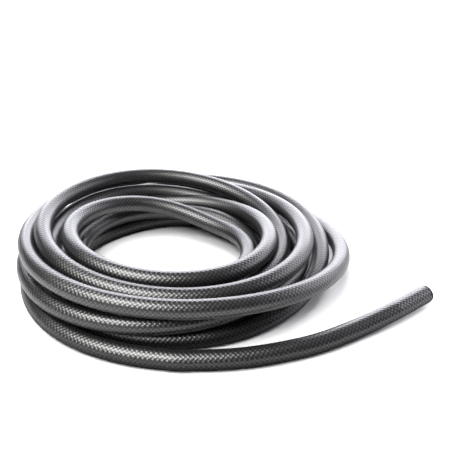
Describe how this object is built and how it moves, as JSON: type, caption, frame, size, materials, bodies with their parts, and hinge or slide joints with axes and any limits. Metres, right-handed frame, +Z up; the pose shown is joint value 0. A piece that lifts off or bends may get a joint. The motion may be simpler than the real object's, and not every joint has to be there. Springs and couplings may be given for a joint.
{
  "type": "vacuum hose",
  "caption": "Plain black braided rubber vacuum hose lying in a loose coil of round turns, with one square-cut open end run out to the side.",
  "frame": {"origin": "middle of the whole object's box, on the surface that the coil lies on", "axes": "+Z up, away from that surface; +X to the side that the free end points to; +Y from the front of the coil, where the free stretch leaves it, to the back"},
  "size_m": [0.4416, 0.3702, 0.0706],
  "materials": {
    "braid": "tight black textile braid with a slight sheen",
    "rubber": "matt black, cut square"
  },
  "bodies": {
    "root": {"coil": "braid", "free_stretch": "braid", "free_end_tube": "rubber", "free_end_braid": "braid", "inner_end_tube": "rubber", "inner_end_braid": "braid"}
  },
  "joints": []
}
